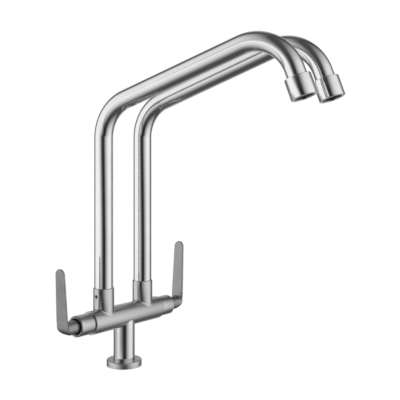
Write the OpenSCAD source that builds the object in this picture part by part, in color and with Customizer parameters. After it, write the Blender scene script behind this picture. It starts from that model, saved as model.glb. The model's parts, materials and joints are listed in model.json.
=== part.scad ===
// Double-spout pillar tap: one inlet pillar, a round bar body, two swivel spouts and two lever valves.
// Millimetres, +Z up. The origin is on the deck, on the pillar axis. The bar lies along X and
// the spouts reach towards -Y. Nothing but the tail, washers and backnut goes below Z = 0.

/* [Pillar and deck fixing] */
// Outside diameter of the pillar tube
pillar_d = 25.4; // [24:0.2:26]
// Wall of the pillar tube
pillar_wall = 1.5; // [1.2:0.1:1.8]
// Diameter of the round flange on the deck
flange_d = 42; // [40:1:55]
// Height of the flange at its bore
flange_h = 7.5; // [6:0.5:12]
// Major diameter of the inlet thread
thread_d = 20.955; // [20.4:0.005:21.4]
// Length of the threaded tail below the deck
tail_len = 50; // [46:1:70]
// Thickness of the deck that the tap is clamped to
deck_t = 12; // [6:1:14]
// Width of the backnut across its flats
backnut_af = 30; // [27:1:36]
// Height of the backnut
backnut_h = 8.5; // [6:0.5:9]

/* [Bar body] */
// Diameter of the horizontal bar
bar_d = 27; // [26.6:0.2:30]
// Wall of the bar around its valve bores
bar_wall = 3; // [2.6:0.2:3.4]
// Height of the bar axis above the deck
bar_z = 60; // [48:1:90]
// Distance between the two socket axes
socket_spacing = 66; // [62:1:90]
// Distance of the socket axes behind the bar axis
socket_setback = 1; // [0:0.1:1]
// Wall of a socket around its spout tube
socket_wall = 1.15; // [1:0.05:1.4]
// Height of the socket rim above the bar axis
socket_rise = 37.5; // [35:0.5:50]
// Length of the bar past a socket axis
bar_overhang = 24; // [23:1:40]

/* [Spouts] */
// Outside diameter of the spout tube
tube_d = 22; // [21:0.2:22.2]
// Wall of the spout tube
tube_wall = 1.2; // [1:0.1:1.5]
// Height of the end of the straight riser above the deck
riser_top = 272.6; // [200:0.1:320]
// Radius of both bends, to the tube axis
bend_r = 47.9; // [36:0.1:60]
// Angle of the lower bend, in degrees
lower_bend = 69.6; // [55:0.1:85]
// Length of the straight arm between the bends
arm_len = 157.3; // [110:0.1:200]
// Angle of the outlet bend, in degrees
outlet_bend = 89.6; // [75:0.1:105]
// Swing of the left spout from straight ahead, towards +X, in degrees
swing_left = 10.1; // [-90:0.1:10.5]
// Swing of the right spout from straight ahead, towards +X, in degrees
swing_right = 7; // [3:0.1:90]
// Wall of the aerator cap around its collar
cap_wall = 2.25; // [1.75:0.05:2.75]
// Length of the aerator cap
cap_len = 22.7; // [22:0.1:30]
// Straight length of tube between the outlet bend and the cap
cap_start = 8.5; // [4:0.5:15]

/* [Levers] */
// Diameter of the end sleeve
sleeve_d = 24; // [23:0.2:26]
// Length of the end sleeve
sleeve_len = 20.3; // [18:0.1:26]
// Diameter of the lever hub
hub_d = 16; // [15:0.2:17]
// Distance from the end of the bar to the middle of the blade
lever_reach = 40.2; // [38:0.1:50]
// Height of the left blade's tip above the bar axis
lever_rise_left = 68; // [50:1:100]
// Height of the right blade's tip above the bar axis
lever_rise_right = 78; // [50:1:100]
// Width of the blade at its foot
blade_foot_w = 17.4; // [15:0.2:18]
// Width of the blade at its tip
blade_tip_w = 14.2; // [10:0.2:15]
// Thickness of the blade
blade_t = 2.5; // [2:0.1:4]
// Outward lean of the blade from upright, in degrees
blade_lean = 3.2; // [0:0.1:10]
// Radius of the outer corner between hub and blade
heel_r = 12.5; // [9:0.5:14]

/* [Hidden] */
$fn = 96;
tiny = 0.5;

// Radial clearances of the fits.
running_gap = 0.05;
thread_gap = 0.05;
solder_gap = 0.02;
seal_gap = 0.08;
washer_gap = 0.25;
drive_gap = 0.1;

// Pillar, flange and the parts around the tail.
pillar_r = pillar_d / 2;
pillar_bore_r = pillar_r - pillar_wall;
flange_bore_r = pillar_r + running_gap;
flange_edge_r = 1.4;
flange_edge_drop = 0.5;
gasket_t = 1.6;
gasket_inset = 3;
gasket_r = flange_d / 2 - gasket_inset;
recess_gap = 0.3;
recess_r = gasket_r + recess_gap;
thread_r = thread_d / 2;
tail_hole_r = thread_r + washer_gap;
tail_shoulder_gap = 0.4;
tail_shoulder_z = gasket_t + tail_shoulder_gap;
tail_spigot_len = 12;
tail_bore_r = 7.5;
tail_chamfer = 1;
relief_w = 2;
relief_depth = 0.9;
rubber_t = 2;
rubber_r = 20;
plate_t = 1.5;
plate_r = 19;
rubber_z = -deck_t - rubber_t;
plate_z = rubber_z - plate_t;
backnut_z = plate_z - backnut_h;
backnut_chamfer = 1.2;
backnut_corner_over = 0.2;
relief_z = backnut_z - relief_w;

// Bar, webs and sockets.
bar_r = bar_d / 2;
bar_end = socket_spacing / 2 + bar_overhang;
bar_edge_r = 1;
bore_r = bar_r - bar_wall;
web_inset = 13;
web_out = socket_spacing / 2 - web_inset;
web_t = 3;
web_in = web_out - web_t;
seat_port_r = 5;
inlet_port_r = 9.5;
rim_z = bar_z + socket_rise;
rim_chamfer = 0.6;
cutter_r = bar_d;

// Swivel joint inside a socket, from the rim down.
tube_r = tube_d / 2;
tube_bore_r = tube_r - tube_wall;
bend_swell = 0.02;
bend_lap = 0.5;
counterbore_r = tube_r + running_gap;
socket_r = counterbore_r + socket_wall;
counterbore_depth = 5.7;
washer_z = rim_z - counterbore_depth;
washer_t = 1.2;
tube_z = washer_z + washer_t;
ferrule_gap = 0.7;
ferrule_step = 0.25;
ferrule_r = tube_bore_r - ferrule_step;
swivel_bore_r = ferrule_r + running_gap;
swivel_depth = 21.2;
swivel_floor = rim_z - swivel_depth;
ferrule_z = swivel_floor + ferrule_gap;
ferrule_wall = 2.35;
ferrule_bore_r = ferrule_r - ferrule_wall;
spigot_r = tube_bore_r - solder_gap;
spigot_len = 10;
passage_r = 7.5;
lock_drop = 9;
lock_z = rim_z - lock_drop;
lock_groove_w = 2.6;
lock_groove_depth = 1.25;
lock_groove_r = ferrule_r - lock_groove_depth;
ring_groove_w = 1.9;
ring_groove_depth = 1.5;
ring_groove_r = ferrule_r - ring_groove_depth;
ring_drop = 13;
ring_spacing = 4;
ring_heights = [rim_z - ring_drop, rim_z - ring_drop - ring_spacing];
ring_section = 0.72;
ring_mid_r = swivel_bore_r - seal_gap - ring_section;
lock_hole_r = 2.05;
lock_screw_r = 2;
lock_shank_gap = 0.15;
lock_point_r = 1.1;
lock_point_gap = 0.2;
lock_sunk = 0.3;
lock_hex_r = 1.15;
lock_hex_depth = 1.3;

// Outlet end of a spout, measured along the outlet axis from the end of the bend.
cap_edge_r = 0.6;
cap_end = cap_start + cap_len;
cap_ledge_t = 1.7;
cap_ledge = cap_end - cap_ledge_t;
cap_mouth_step = 0.2;
cap_mouth_r = tube_r - cap_mouth_step;
collar_t = 1.2;
collar_r = tube_r + collar_t;
collar_setback = 0.3;
collar_start = cap_start + collar_setback;
cap_bore_r = collar_r + thread_gap;
cap_r = cap_bore_r + cap_wall;
mouth_depth = 11.2;
tube_end = cap_end - mouth_depth;
mouth_washer_t = 1.4;
mouth_washer_lip = 0.8;
insert_start = tube_end + mouth_washer_t;
insert_gap = 0.65;
insert_r = cap_bore_r - insert_gap;
insert_step = 0.2;
insert_bore_r = tube_bore_r - insert_step;
insert_flange_t = 1.6;
insert_flange_out = 0.4;
rib_t = 1.2;
rib_len = 3;
rib_setback = 1;
rib_root = 0.4;
mesh_r = insert_bore_r - running_gap;
mesh_rim = 0.9;
mesh_t = 0.8;
mesh_inset = 2;
mesh_start = cap_ledge - mesh_inset;
mesh_spacing = 1.9;
mesh_hole_r = 0.7;

// Ceramic-disc valve, measured along X from the middle of the tap.
seal_t = 3;
seal_port_gap = 0.2;
seal_in_r = seat_port_r + seal_port_gap;
barrel_wall = 2;
disc_bore_r = bore_r - barrel_wall;
disc_r = disc_bore_r - drive_gap;
disc_port_r = 2.2;
disc_port_off = 4.4;
disc_start = web_out + seal_t;
fixed_t = 3;
turning_t = 4;
turning_start = disc_start + fixed_t;
turning_end = turning_start + turning_t;
slot_depth = 1.6;
slot_w = 4;
window_len = 4;
window_w = 12;
drive_end = turning_end + window_len;
head_t = 1.9;
shoulder = drive_end + head_t + drive_gap;
tongue_gap = 0.3;
barrel_gap = 1;
barrel_start = web_out + barrel_gap;
barrel_fit_gap = 0.3;
barrel_r = bore_r - barrel_fit_gap;
valve_thread_r = bore_r - thread_gap;
valve_thread_len = 11;
valve_thread_setback = 1;
valve_collar_t = 1.2;
valve_collar_lip = 0.7;
valve_collar_r = bore_r + valve_collar_lip;
sleeve_start = bar_end + valve_collar_t;
neck_len = 8.8;
neck_end = sleeve_start + neck_len;
neck_wall = 0.85;
neck_r = disc_bore_r + neck_wall;
stem_r = 4;
stem_bore_r = stem_r + running_gap;
stem_setback = 9.5;
stem_end = bar_end + lever_reach - stem_setback;
stem_flat = 3;
stem_flat_setback = 7;
stem_flat_start = neck_end + stem_flat_setback;
stem_groove_w = 1.5;
stem_groove_depth = 1.15;
stem_groove_r = stem_r - stem_groove_depth;
stem_ring_spacing = 5;
stem_rings = [shoulder + stem_ring_spacing, shoulder + 2 * stem_ring_spacing];
stem_ring_section = 0.56;
stem_ring_r = stem_bore_r - running_gap - stem_ring_section;
body_ring_setback = 7;
body_ring_x = shoulder + body_ring_setback;
body_ring_section = 0.75;
body_ring_gap = 0.03;
body_ring_r = bore_r - body_ring_gap - body_ring_section;
body_groove_depth = 1.55;
body_groove_r = bore_r - body_groove_depth;
body_groove_w = 2;
clip_gap = 0.35;
clip_start = neck_end + clip_gap;
clip_t = 0.9;
clip_r = 6;
clip_slot = 5;
clip_groove_depth = 0.6;
clip_groove_r = stem_r - clip_groove_depth;

// End sleeve and lever.
sleeve_r = sleeve_d / 2;
sleeve_bore_r = neck_r + thread_gap;
sleeve_end = sleeve_start + sleeve_len;
sleeve_edge_r = 1.2;
sleeve_back_r = 0.5;
hub_r = hub_d / 2;
hub_gap = 1.75;
hub_start = clip_start + clip_t + hub_gap;
hub_bore_gap = 1;
hub_bore_end = stem_end + hub_bore_gap;
blade_x = bar_end + lever_reach;
blade_face = blade_x + blade_t / 2 / cos(blade_lean);
blade_back = blade_x - blade_t / 2 / cos(blade_lean);
blade_widest = 10;
throat_r = 3;
grub_setback = 3.5;
grub_x = sleeve_end + grub_setback;
grub_r = 2.5;
grub_hole_r = grub_r + thread_gap;
grub_sunk = 0.4;
grub_hex_r = 1.44;
grub_hex_depth = 2;
lever_over = 5;

LEFT = -1;
RIGHT = 1;

// A round tube or washer along Z.
module ring(outer_r, inner_r, from, to) {
    difference() {
        translate([0, 0, from]) cylinder(r = outer_r, h = to - from);
        translate([0, 0, from - tiny]) cylinder(r = inner_r, h = to - from + 2 * tiny);
    }
}

// A round rod along Z.
module rod(r, from, to) {
    translate([0, 0, from]) cylinder(r = r, h = to - from);
}

// A round-section ring such as a seal, in the XY plane.
module seal_ring(mid_r, section_r, at) {
    translate([0, 0, at]) rotate_extrude() translate([mid_r, 0]) circle(r = section_r, $fn = 32);
}

// A round groove cut into a rod of any radius, leaving the floor radius.
module groove(floor_r, at, width) {
    ring(cutter_r, floor_r, at - width / 2, at + width / 2);
}

// A round rod along Z whose lower and upper edges are rounded.
module soft_rod(r, from, to, edge_low, edge_high) {
    rotate_extrude() {
        translate([0, from]) square([r - max(edge_low, edge_high), to - from]);
        translate([0, from + edge_low]) square([r, to - from - edge_low - edge_high]);
        intersection() {
            translate([0, from]) square([r, edge_low]);
            union() {
                translate([0, from]) square([r - edge_low, edge_low]);
                translate([r - edge_low, from + edge_low]) circle(r = edge_low);
            }
        }
        intersection() {
            translate([0, to - edge_high]) square([r, edge_high]);
            union() {
                translate([0, to - edge_high]) square([r - edge_high, edge_high]);
                translate([r - edge_high, to - edge_high]) circle(r = edge_high);
            }
        }
    }
}

// Mirrors the right-hand piece for the left-hand side.
module on_side(side) {
    if (side == RIGHT) children();
    else mirror([1, 0, 0]) children();
}

// Turns a piece that is drawn along Z so that it lies on the bar axis, outwards. Its +X points down.
module on_bar(side) {
    on_side(side) translate([0, 0, bar_z]) rotate([0, 90, 0]) children();
}

function socket_x(side) = side * socket_spacing / 2;

function swing(side) = side == LEFT ? swing_left : swing_right;

function lever_rise(side) = side == LEFT ? lever_rise_left : lever_rise_right;

// Places a piece on a socket axis, not swung.
module on_socket(side) {
    translate([socket_x(side), socket_setback, 0]) children();
}

// Places a piece on a socket axis, swung with its spout.
module on_spout(side) {
    on_socket(side) rotate([0, 0, swing(side)]) children();
}

// The side view of a spout as a plane: first coordinate outwards, second coordinate up.
module spout_plane() {
    rotate([90, 0, -90]) children();
}

// The run of the spout axis in that plane.
arm_tilt = 90 - lower_bend;
outlet_tilt = arm_tilt - outlet_bend;
lower_centre = [bend_r, riser_top];
arm_from = lower_centre + bend_r * [-sin(arm_tilt), cos(arm_tilt)];
arm_to = arm_from + arm_len * [cos(arm_tilt), sin(arm_tilt)];
outlet_centre = arm_to + bend_r * [sin(arm_tilt), -cos(arm_tilt)];
outlet_from = outlet_centre + bend_r * [-sin(outlet_tilt), cos(outlet_tilt)];

// A rod in the spout's plane that starts at a point and runs at an angle above the horizontal.
module plane_rod(start, tilt, r, from, to) {
    translate([start[0], start[1], 0]) rotate([0, 0, tilt - 90]) rotate([-90, 0, 0]) rod(r, from, to);
}

// A bend in the spout's plane that ends at the given tilt after turning down by an angle.
module plane_bend(centre, end_tilt, turn, r) {
    translate([centre[0], centre[1], 0]) rotate([0, 0, end_tilt + 90])
        rotate_extrude(angle = turn) translate([bend_r, 0]) circle(r = r);
}

// The whole run of a spout as a solid, lengthened at both ends for a bore. The bends are a hair
// wider than the straights, as on a real bent tube, and the straights run a little way into them.
module spout_run(r, longer) {
    spout_plane() {
        plane_rod([0, 0], 90, r, tube_z - longer, riser_top + bend_lap);
        plane_bend(lower_centre, arm_tilt, lower_bend, r + bend_swell);
        plane_rod(arm_from, arm_tilt, r, -bend_lap, arm_len + bend_lap);
        plane_bend(outlet_centre, outlet_tilt, outlet_bend, r + bend_swell);
        plane_rod(outlet_from, outlet_tilt, r, -bend_lap, tube_end + longer);
    }
}

// Places a piece that is drawn along Z on the outlet axis, from the end of the outlet bend.
module on_outlet(side) {
    on_spout(side) spout_plane() translate([outlet_from[0], outlet_from[1], 0])
        rotate([0, 0, outlet_tilt - 90]) rotate([-90, 0, 0]) children();
}

// The fixed pieces

// The bar with its two upright sockets, webs, valve bores and water ways, in one casting.
module bar_body() {
    color("#b4b6b8") difference() {
        union() {
            rotate([0, 90, 0]) translate([-bar_z, 0, 0])
                soft_rod(bar_r, -bar_end, bar_end, bar_edge_r, bar_edge_r);
            for (side = [LEFT, RIGHT]) on_socket(side) {
                rod(socket_r, bar_z, rim_z - rim_chamfer);
                translate([0, 0, rim_z - rim_chamfer])
                    cylinder(r1 = socket_r, r2 = socket_r - rim_chamfer, h = rim_chamfer);
            }
        }
        rotate([0, 90, 0]) translate([-bar_z, 0, 0]) rod(bore_r, -web_in, web_in);
        rotate([0, 90, 0]) translate([-bar_z, 0, 0]) rod(seat_port_r, -web_out - tiny, web_out + tiny);
        rod(inlet_port_r, bar_z - bar_r - tiny, bar_z);
        for (side = [LEFT, RIGHT]) {
            on_bar(side) rod(bore_r, web_out, bar_end + tiny);
            on_socket(side) {
                rod(passage_r, bar_z, swivel_floor + tiny);
                rod(swivel_bore_r, swivel_floor, rim_z);
                rod(counterbore_r, washer_z, rim_z + tiny);
                translate([0, 0, lock_z]) rotate([0, side * 90, 0])
                    rod(lock_hole_r, swivel_bore_r - tiny, socket_r + tiny);
            }
        }
    }
}

// The polished inlet tube. Its top is shaped to the underside of the bar.
module pillar_tube() {
    color("#d9dadb") difference() {
        ring(pillar_r, pillar_bore_r, gasket_t, bar_z);
        rotate([0, 90, 0]) translate([-bar_z, 0, 0]) rod(bar_r, -pillar_r - tiny, pillar_r + tiny);
    }
}

// The round flange that covers the deck hole, with a low dome and a rounded rim.
module deck_flange() {
    rim_r = flange_d / 2;
    rim_top = flange_h - flange_edge_drop;
    color("#c4c6c8") rotate_extrude() difference() {
        union() {
            polygon([
                [flange_bore_r, 0],
                [rim_r, 0],
                [rim_r, rim_top - flange_edge_r],
                [rim_r - flange_edge_r, rim_top - flange_edge_r],
                [rim_r - flange_edge_r, rim_top],
                [flange_bore_r, flange_h]
            ]);
            translate([rim_r - flange_edge_r, rim_top - flange_edge_r]) circle(r = flange_edge_r);
        }
        translate([0, -tiny]) square([recess_r, gasket_t + tiny]);
    }
}

// The rubber gasket between the flange and the deck.
module deck_gasket() {
    color("#303234") ring(gasket_r, tail_hole_r, 0, gasket_t);
}

// The threaded inlet tail. Its spigot is brazed into the pillar tube.
module threaded_tail() {
    color("#b8a36a") difference() {
        union() {
            rod(thread_r, tail_chamfer - tail_len, tail_shoulder_z);
            translate([0, 0, -tail_len])
                cylinder(r1 = thread_r - tail_chamfer, r2 = thread_r, h = tail_chamfer);
            rod(pillar_bore_r - thread_gap, tail_shoulder_z, tail_shoulder_z + tail_spigot_len);
        }
        rod(tail_bore_r, -tail_len - tiny, tail_shoulder_z + tail_spigot_len + tiny);
        groove(thread_r - relief_depth, relief_z + relief_w / 2, relief_w);
    }
}

// The rubber washer under the deck.
module under_deck_washer() {
    color("#303234") ring(rubber_r, tail_hole_r, rubber_z, -deck_t);
}

// The steel washer that spreads the backnut's load.
module backing_washer() {
    color("#a8abae") ring(plate_r, tail_hole_r, plate_z, rubber_z);
}

// The hexagon backnut, with chamfered corners.
module backnut() {
    corner_r = backnut_af / 2 / cos(30);
    color("#b8a36a") difference() {
        intersection() {
            translate([0, 0, backnut_z]) cylinder(r = corner_r, h = backnut_h, $fn = 6);
            translate([0, 0, backnut_z]) rotate_extrude() polygon([
                [0, 0],
                [corner_r - backnut_chamfer, 0],
                [corner_r + backnut_corner_over, backnut_chamfer],
                [corner_r + backnut_corner_over, backnut_h - backnut_chamfer],
                [corner_r - backnut_chamfer, backnut_h],
                [0, backnut_h]
            ]);
        }
        rod(thread_r + thread_gap, backnut_z - tiny, plate_z + tiny);
    }
}

// The barrel of a valve: disc chamber, windows, thread, collar and the neck that carries the sleeve.
module valve_body(side) {
    color("#b8a36a") on_bar(side) difference() {
        union() {
            rod(barrel_r, barrel_start, bar_end);
            translate([0, 0, bar_end - valve_thread_setback]) rod(valve_thread_r, -valve_thread_len, 0);
            rod(valve_collar_r, bar_end, sleeve_start);
            rod(neck_r, sleeve_start, neck_end);
        }
        rod(disc_bore_r, barrel_start - tiny, shoulder);
        rod(stem_bore_r, shoulder - tiny, neck_end + tiny);
        groove(body_groove_r, body_ring_x, body_groove_w);
        translate([-bore_r - tiny, -window_w / 2, turning_end])
            cube([2 * bore_r + 2 * tiny, window_w, window_len]);
    }
}

// The seal ring around the barrel of a valve.
module body_seal(side) {
    color("#262829") on_bar(side) seal_ring(body_ring_r, body_ring_section, body_ring_x);
}

// The rubber seal between the web of the bar and the fixed disc.
module seat_seal(side) {
    color("#262829") on_bar(side) ring(disc_r, seal_in_r, web_out, disc_start);
}

// The two water ports of a ceramic disc.
module disc_ports(from, to) {
    for (turn = [0, 180]) rotate([0, 0, turn]) translate([disc_port_off, 0, 0])
        rod(disc_port_r, from - tiny, to + tiny);
}

// The fixed ceramic disc.
module fixed_disc(side) {
    color("#ecebe6") on_bar(side) difference() {
        rod(disc_r, disc_start, turning_start);
        disc_ports(disc_start, turning_start);
    }
}

// The polished-edge sleeve that is screwed onto the neck of a valve.
module end_sleeve(side) {
    color("#b4b6b8") on_bar(side) difference() {
        soft_rod(sleeve_r, sleeve_start, sleeve_end, sleeve_back_r, sleeve_edge_r);
        rod(sleeve_bore_r, sleeve_start - tiny, sleeve_end + tiny);
    }
}

// The plain washer that a spout tube stands on inside its socket.
module swivel_washer(side) {
    color("#e8e6dd") on_socket(side) ring(tube_r, swivel_bore_r, washer_z, tube_z);
}

// The screw in the side of a socket. Its point runs in the groove of the spout's ferrule.
module lock_screw(side) {
    head_end = socket_r - lock_sunk;
    color("#6b6d70") on_socket(side) translate([0, 0, lock_z]) rotate([0, side * 90, 0]) difference() {
        union() {
            rod(lock_screw_r, swivel_bore_r + lock_shank_gap, head_end);
            rod(lock_point_r, lock_groove_r + lock_point_gap, head_end);
        }
        translate([0, 0, head_end - lock_hex_depth])
            cylinder(r = lock_hex_r, h = lock_hex_depth + tiny, $fn = 6);
    }
}

// The pieces that turn with a lever

// The turning ceramic disc, with a slot across its back for the spindle.
module turning_disc(side) {
    color("#ecebe6") on_bar(side) difference() {
        rod(disc_r, turning_start, turning_end);
        disc_ports(turning_start, turning_end);
        translate([-slot_w / 2, -disc_r - tiny, turning_end - slot_depth])
            cube([slot_w, 2 * disc_r + 2 * tiny, slot_depth + tiny]);
    }
}

// The spindle: driving tongue, head, sealed stem and the flat for the lever screw.
module spindle(side) {
    tongue_start = turning_end - slot_depth + drive_gap;
    tongue_w = slot_w - 2 * drive_gap;
    color("#b8a36a") on_bar(side) difference() {
        union() {
            intersection() {
                rod(disc_r - tongue_gap, tongue_start, drive_end + tiny);
                translate([-tongue_w / 2, -disc_r, tongue_start])
                    cube([tongue_w, 2 * disc_r, drive_end + tiny - tongue_start]);
            }
            rod(disc_r - drive_gap, drive_end, drive_end + head_t);
            rod(stem_r, drive_end, stem_end);
        }
        for (at = stem_rings) groove(stem_groove_r, at, stem_groove_w);
        groove(clip_groove_r, clip_start + clip_t / 2, clip_t + 2 * running_gap);
        translate([stem_flat, -stem_r - tiny, stem_flat_start])
            cube([stem_r, 2 * stem_r + 2 * tiny, stem_end - stem_flat_start + tiny]);
    }
}

// The two seal rings in the grooves of a stem.
module spindle_seals(side) {
    color("#262829") on_bar(side)
        for (at = stem_rings) seal_ring(stem_ring_r, stem_ring_section, at);
}

// The open clip that holds a spindle in its valve.
module spindle_clip(side) {
    color("#8d9093") on_bar(side) difference() {
        ring(clip_r, clip_groove_r + running_gap, clip_start, clip_start + clip_t);
        translate([-clip_r - tiny, -clip_slot / 2, clip_start - tiny])
            cube([clip_r + tiny, clip_slot, clip_t + 2 * tiny]);
    }
}

// How far a face of the leaning blade has moved outwards at a height above the bar axis.
function lean(height) = height * tan(blade_lean);

// Everything inside the outer face of the blade, with the rounded heel, as a side view swept along Y.
module heel_limit(rise) {
    centre_z = heel_r - hub_r;
    centre_x = blade_face + lean(centre_z) - heel_r / cos(blade_lean);
    touch = [centre_x + heel_r * cos(blade_lean), centre_z - heel_r * sin(blade_lean)];
    top = rise + lever_over;
    rotate([90, 0, 0]) linear_extrude(height = 2 * (hub_r + lever_over), center = true) {
        polygon([
            [hub_start - tiny, -hub_r],
            [centre_x, -hub_r],
            [centre_x, centre_z],
            touch,
            [blade_face + lean(top), top],
            [hub_start - tiny, top]
        ]);
        translate([centre_x, centre_z]) circle(r = heel_r);
    }
}

// The outline of the blade seen along X, swept outwards.
module blade_outline(rise) {
    tip_r = blade_tip_w / 2;
    tip_z = rise - tip_r;
    translate([hub_start, 0, 0]) rotate([90, 0, 90]) linear_extrude(height = blade_x) {
        polygon([
            [-hub_r, 0],
            [hub_r, 0],
            [blade_foot_w / 2, blade_widest],
            [tip_r, tip_z],
            [-tip_r, tip_z],
            [-blade_foot_w / 2, blade_widest]
        ]);
        translate([0, tip_z]) circle(r = tip_r);
    }
}

// The material outside the back face of the blade, swept along Y.
module blade_slab(rise) {
    top = rise + lever_over;
    rotate([90, 0, 0]) linear_extrude(height = 2 * (hub_r + lever_over), center = true) polygon([
        [blade_back, 0],
        [blade_face + lever_over, 0],
        [blade_face + lever_over + lean(top), top],
        [blade_back + lean(top), top]
    ]);
}

// The hollow fillet between the top of the hub and the back of the blade.
module blade_throat() {
    fillet_x = blade_back + lean(hub_r + throat_r) - throat_r;
    rotate([0, 90, 0]) rotate_extrude() difference() {
        translate([hub_r - tiny, fillet_x]) square([throat_r + tiny, throat_r + tiny]);
        translate([hub_r + throat_r, fillet_x]) circle(r = throat_r);
    }
}

// A lever: round hub, rounded heel and flat upright blade, bored for the stem and its screw.
module lever(side) {
    color("#b9bbbd") on_side(side) translate([0, 0, bar_z]) difference() {
        intersection() {
            heel_limit(lever_rise(side));
            union() {
                rotate([0, 90, 0]) rod(hub_r, hub_start, blade_x + lever_over);
                intersection() {
                    blade_outline(lever_rise(side));
                    union() {
                        blade_slab(lever_rise(side));
                        blade_throat();
                    }
                }
            }
        }
        rotate([0, 90, 0]) rod(stem_bore_r, hub_start - tiny, hub_bore_end);
        translate([grub_x, 0, 0]) rod(grub_hole_r, -hub_r - tiny, 0);
    }
}

// The grub screw in the underside of a hub, tight on the flat of the stem.
module lever_screw(side) {
    color("#6b6d70") on_side(side) translate([grub_x, 0, bar_z]) difference() {
        rod(grub_r, grub_sunk - hub_r, -stem_flat);
        translate([0, 0, grub_sunk - hub_r - tiny])
            cylinder(r = grub_hex_r, h = grub_hex_depth + tiny, $fn = 6);
    }
}

// The pieces that swing with a spout

// The bent spout tube.
module spout_tube(side) {
    color("#e2e3e4") on_spout(side) difference() {
        spout_run(tube_r, 0);
        spout_run(tube_bore_r, tiny);
    }
}

// The ferrule soldered into the foot of a spout tube, with grooves for its seals and the lock screw.
module swivel_ferrule(side) {
    color("#b8a36a") on_spout(side) difference() {
        union() {
            rod(ferrule_r, ferrule_z, tube_z);
            rod(spigot_r, tube_z, tube_z + spigot_len);
        }
        rod(ferrule_bore_r, ferrule_z - tiny, tube_z + spigot_len + tiny);
        groove(lock_groove_r, lock_z, lock_groove_w);
        for (at = ring_heights) groove(ring_groove_r, at, ring_groove_w);
    }
}

// The two seal rings of a swivel.
module swivel_seals(side) {
    color("#262829") on_spout(side)
        for (at = ring_heights) seal_ring(ring_mid_r, ring_section, at);
}

// The threaded collar soldered on the outlet end of a spout tube.
module outlet_collar(side) {
    color("#b8a36a") on_outlet(side) ring(collar_r, tube_r + solder_gap, collar_start, tube_end);
}

// The rubber washer between the end of the tube and the aerator insert.
module outlet_washer(side) {
    color("#262829") on_outlet(side)
        ring(collar_r, tube_bore_r - mouth_washer_lip, tube_end, insert_start);
}

// The plastic insert of an aerator: flange, skirt and three ribs.
module aerator_insert(side) {
    rib_start = insert_start + rib_setback;
    color("#9aa0a4") on_outlet(side) {
        ring(insert_r + insert_flange_out, insert_bore_r, insert_start, insert_start + insert_flange_t);
        ring(insert_r, insert_bore_r, insert_start + insert_flange_t, cap_ledge);
        intersection() {
            rod(insert_bore_r + rib_root, rib_start, rib_start + rib_len);
            for (turn = [0, 60, 120]) rotate([0, 0, turn])
                translate([-insert_r, -rib_t / 2, insert_start])
                cube([2 * insert_r, rib_t, mouth_depth]);
        }
    }
}

// The round screen inside an aerator, pierced in rows.
module aerator_mesh(side) {
    rows = floor(mesh_r / mesh_spacing);
    color("#7c7f82") on_outlet(side) difference() {
        rod(mesh_r, mesh_start, mesh_start + mesh_t);
        for (row = [-rows:rows], place = [-rows:rows])
            if (norm([row, place]) * mesh_spacing < mesh_r - mesh_rim - mesh_hole_r)
                translate([row * mesh_spacing, place * mesh_spacing, 0])
                    rod(mesh_hole_r, mesh_start - tiny, mesh_start + mesh_t + tiny);
    }
}

// The polished cap that is screwed onto the outlet collar and holds the aerator.
module aerator_cap(side) {
    color("#e2e3e4") on_outlet(side) difference() {
        soft_rod(cap_r, cap_start, cap_end, cap_edge_r, cap_edge_r);
        rod(cap_bore_r, cap_start - tiny, cap_ledge);
        rod(cap_mouth_r, cap_ledge - tiny, cap_end + tiny);
    }
}

bar_body();
pillar_tube();
deck_flange();
deck_gasket();
threaded_tail();
under_deck_washer();
backing_washer();
backnut();
valve_body(LEFT);  // valve_body_left
valve_body(RIGHT);  // valve_body_right
body_seal(LEFT);  // body_seal_left
body_seal(RIGHT);  // body_seal_right
seat_seal(LEFT);  // seat_seal_left
seat_seal(RIGHT);  // seat_seal_right
fixed_disc(LEFT);  // fixed_disc_left
fixed_disc(RIGHT);  // fixed_disc_right
end_sleeve(LEFT);  // end_sleeve_left
end_sleeve(RIGHT);  // end_sleeve_right
swivel_washer(LEFT);  // swivel_washer_left
swivel_washer(RIGHT);  // swivel_washer_right
lock_screw(LEFT);  // lock_screw_left
lock_screw(RIGHT);  // lock_screw_right
turning_disc(LEFT);  // turning_disc_left
turning_disc(RIGHT);  // turning_disc_right
spindle(LEFT);  // spindle_left
spindle(RIGHT);  // spindle_right
spindle_seals(LEFT);  // spindle_seals_left
spindle_seals(RIGHT);  // spindle_seals_right
spindle_clip(LEFT);  // spindle_clip_left
spindle_clip(RIGHT);  // spindle_clip_right
lever(LEFT);  // lever_left
lever(RIGHT);  // lever_right
lever_screw(LEFT);  // lever_screw_left
lever_screw(RIGHT);  // lever_screw_right
spout_tube(LEFT);  // spout_tube_left
spout_tube(RIGHT);  // spout_tube_right
swivel_ferrule(LEFT);  // swivel_ferrule_left
swivel_ferrule(RIGHT);  // swivel_ferrule_right
swivel_seals(LEFT);  // swivel_seals_left
swivel_seals(RIGHT);  // swivel_seals_right
outlet_collar(LEFT);  // outlet_collar_left
outlet_collar(RIGHT);  // outlet_collar_right
outlet_washer(LEFT);  // outlet_washer_left
outlet_washer(RIGHT);  // outlet_washer_right
aerator_insert(LEFT);  // aerator_insert_left
aerator_insert(RIGHT);  // aerator_insert_right
aerator_mesh(LEFT);  // aerator_mesh_left
aerator_mesh(RIGHT);  // aerator_mesh_right
aerator_cap(LEFT);  // aerator_cap_left
aerator_cap(RIGHT);  // aerator_cap_right
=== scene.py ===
# Double-spout pillar tap in stainless steel: an inlet pillar on a deck flange carries a round bar
# with a lever valve in each end and two upright sockets, in which two polished spouts swivel.
import json
import math

import bmesh
import bpy
import numpy as np
from mathutils import Matrix, Vector


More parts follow.
